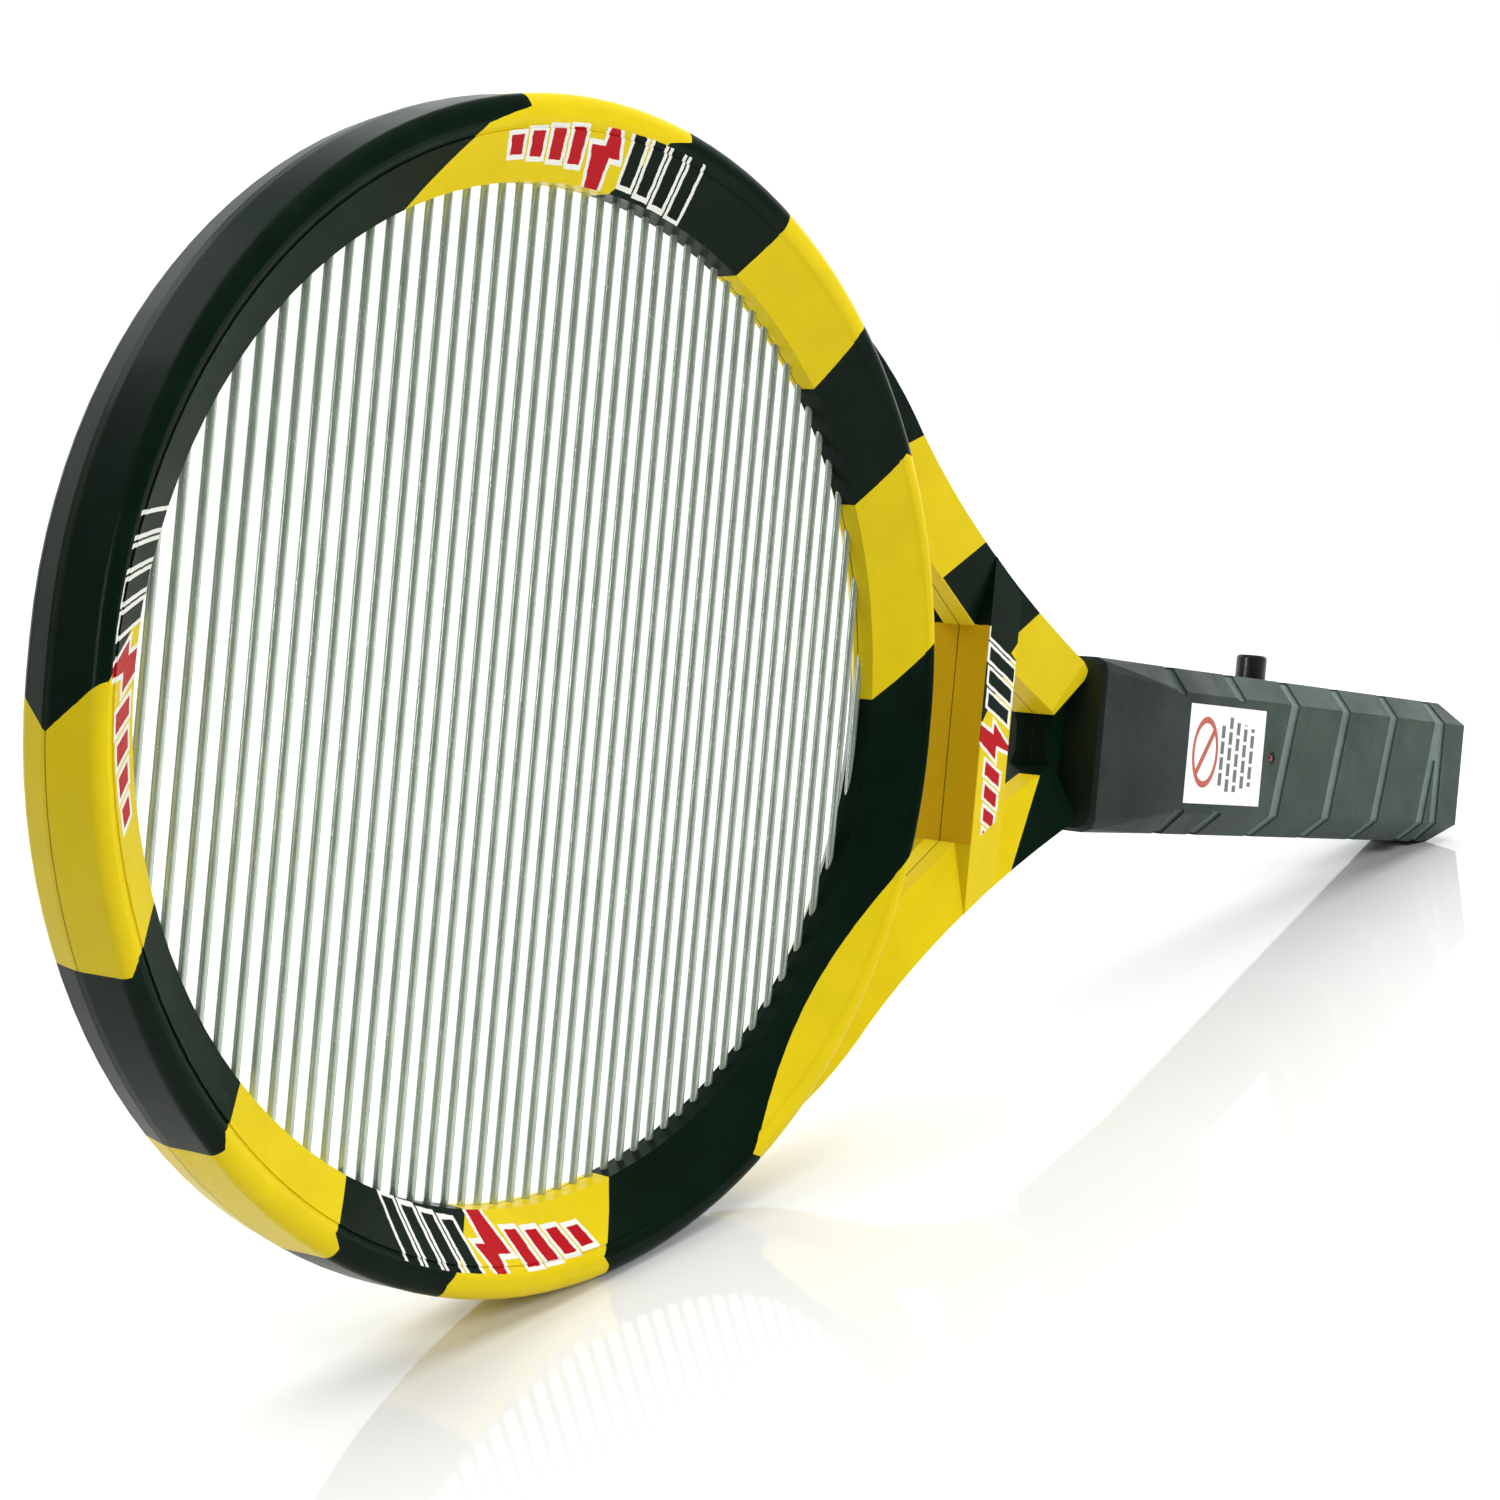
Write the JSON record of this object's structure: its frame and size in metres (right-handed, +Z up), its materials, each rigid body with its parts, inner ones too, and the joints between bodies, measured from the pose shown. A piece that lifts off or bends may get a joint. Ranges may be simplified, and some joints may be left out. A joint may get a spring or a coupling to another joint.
{
  "type": "electric fly swatter",
  "caption": "Handheld electric fly swatter: a striped ring of parallel steel rods on a two-armed throat, with a bevelled battery handle and a side push button.",
  "frame": {"origin": "centre of the footprint, on the surface that the rim and the handle's tail stand on", "axes": "+X runs from the ring towards the handle's end, -Y is the side with the lamp and sticker, +Z is up; the racket stands on its edge"},
  "size_m": [0.4586, 0.027, 0.2104],
  "materials": {
    "yellow_black_plastic": "satin moulded ABS with black stripes",
    "grip_plastic": "fine spark-eroded grain, smooth paler grooves",
    "button_plastic": "satin black",
    "black_plastic": "moulded black",
    "polished_steel": "drawn bright rod",
    "spring_steel": "bright drawn wire",
    "screw_steel": "zinc plated",
    "copper_wire": "bare copper",
    "red_insulation": "smooth PVC",
    "black_insulation": "smooth PVC",
    "cell_jacket": "printed cell sleeve, plain",
    "board_laminate": "solder-mask green",
    "ferrite": "sintered dark grey",
    "coil_tape": "yellow tape over enamelled wire",
    "capacitor_epoxy": "dipped red-brown",
    "component_epoxy": "black epoxy",
    "resistor_body": "tan lacquer",
    "red_lens": "clear red epoxy",
    "label_paper": "white coated sticker"
  },
  "bodies": {
    "racket": {"head_front_shell": "yellow_black_plastic", "head_back_shell": "yellow_black_plastic", "live_rods": "polished_steel", "ground_rods": "polished_steel", "live_bus_wire": "copper_wire", "ground_bus_wire": "copper_wire", "live_lead": "red_insulation", "ground_lead": "black_insulation", "head_screws": "screw_steel", "handle_front_shell": "grip_plastic", "handle_back_shell": "grip_plastic", "handle_screws": "screw_steel", "upper_cell": "cell_jacket", "lower_cell": "cell_jacket", "rear_contact_plate": "spring_steel", "rear_contact_spring": "spring_steel", "front_contact_plates": "spring_steel", "front_contact_spring": "spring_steel", "positive_lead": "red_insulation", "negative_lead": "black_insulation", "circuit_board": "board_laminate", "board_screws": "screw_steel", "transformer_core": "ferrite", "transformer_coil": "coil_tape", "storage_capacitor": "capacitor_epoxy", "oscillator_transistor": "component_epoxy", "rectifier_diodes": "component_epoxy", "resistors": "resistor_body", "indicator_led": "red_lens", "button_spring": "spring_steel", "switch_housing": "black_plastic", "switch_contacts": "copper_wire", "instruction_label": "label_paper"},
    "door": {"battery_door": "grip_plastic"},
    "button": {"push_button": "button_plastic"}
  },
  "joints": [
    {"name": "door_slide", "type": "slide", "parent": "racket", "child": "door", "axis": [0.9707, 0, -0.2405], "range_m": [0, 0.062]},
    {"name": "button_press", "type": "slide", "parent": "racket", "child": "button", "axis": [-0.2405, 0, -0.9707], "range_m": [0, 0.003], "stiffness_N_per_m": 600, "springref_m": -0.0015, "deforming": ["button_spring"]}
  ]
}
